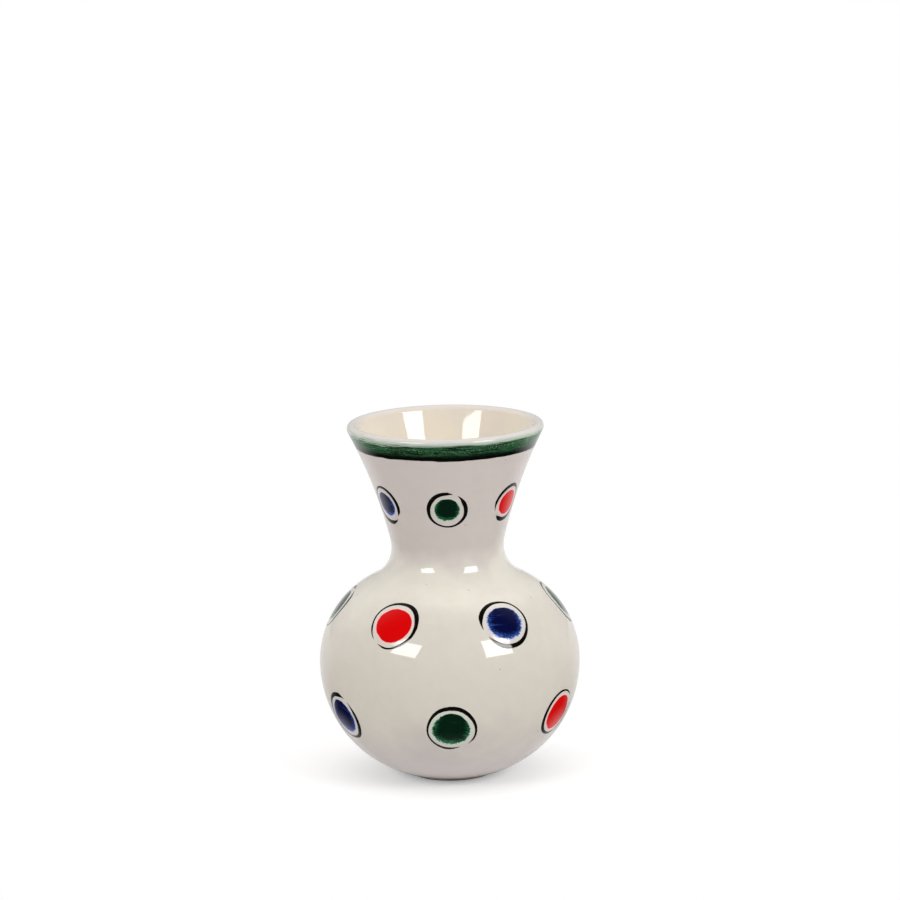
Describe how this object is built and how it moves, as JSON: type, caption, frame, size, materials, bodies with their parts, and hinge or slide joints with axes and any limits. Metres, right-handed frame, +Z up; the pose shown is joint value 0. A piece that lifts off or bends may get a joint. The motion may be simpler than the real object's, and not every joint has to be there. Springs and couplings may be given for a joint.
{
  "type": "vase",
  "caption": "Small glazed earthenware vase with a round globe, a flaring neck, a green stripe under the lip and painted dots; it holds water and cut flowers.",
  "frame": {"origin": "on the floor, at the middle of the foot ring", "axes": "+Z up along the vase's axis; -Y is the side that the picture looks at"},
  "size_m": [0.1092, 0.1092, 0.15],
  "materials": {
    "clay": "bare fired earthenware",
    "slip": "fired slip",
    "cream_glaze": "gloss",
    "warm_glaze": "gloss",
    "green_paint": "brushed colour under gloss",
    "black_paint": "brushed colour under gloss",
    "red_paint": "brushed colour under gloss",
    "blue_paint": "brushed colour under gloss"
  },
  "bodies": {
    "root": {"globe": "clay", "neck": "clay", "slip_seam": "slip", "outer_glaze": "cream_glaze", "inner_glaze": "warm_glaze", "rim_band": "green_paint", "rim_line": "black_paint", "red_dots": "red_paint", "blue_dots": "blue_paint", "green_dots": "green_paint", "dot_rings": "black_paint"}
  },
  "joints": []
}
